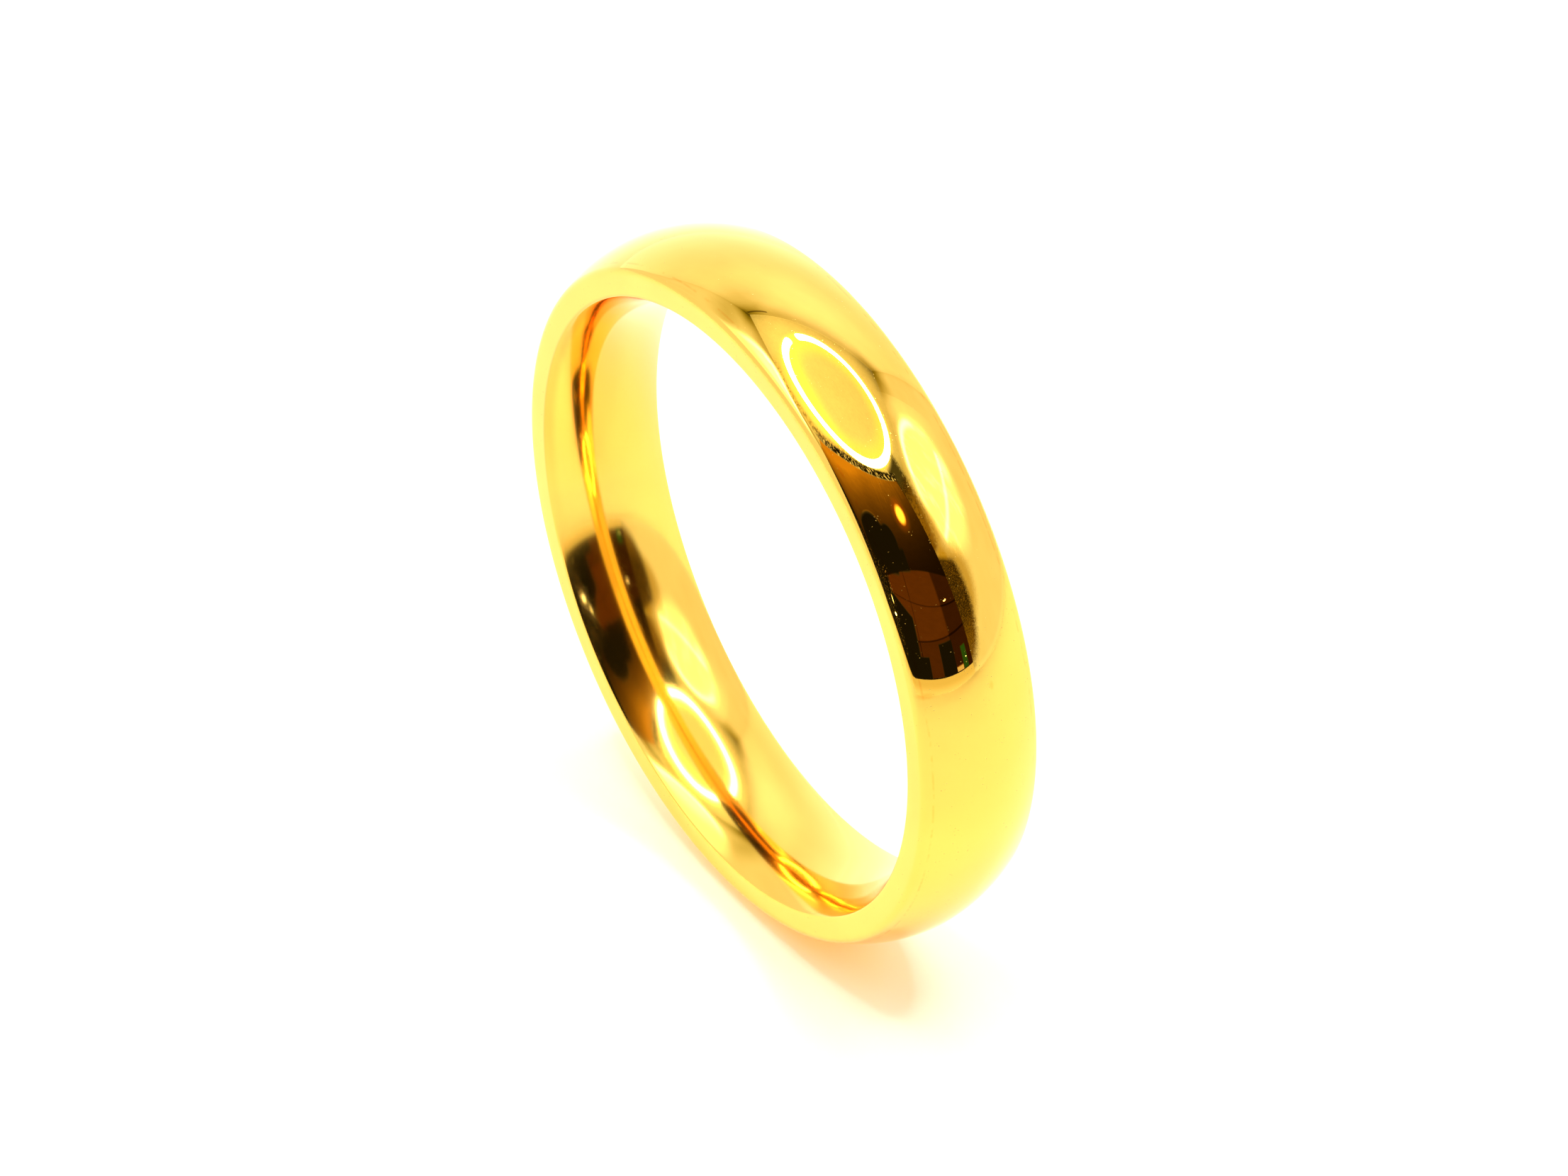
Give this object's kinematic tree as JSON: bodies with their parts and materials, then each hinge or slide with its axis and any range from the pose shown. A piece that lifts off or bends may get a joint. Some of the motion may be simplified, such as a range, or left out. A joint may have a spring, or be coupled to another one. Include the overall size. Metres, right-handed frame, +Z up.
{
  "type": "wedding band",
  "caption": "Plain court-section wedding band in polished yellow gold, domed outside and inside, with a narrow flat along each edge, for wearing on a finger.",
  "frame": {"origin": "centre of the finger hole, halfway across the band's width", "axes": "+Y along the finger axis, +Z up with the band standing on its rim"},
  "size_m": [0.022, 0.004, 0.022],
  "materials": {
    "polished_gold": "polished"
  },
  "bodies": {
    "root": {"band": "polished_gold"}
  },
  "joints": []
}
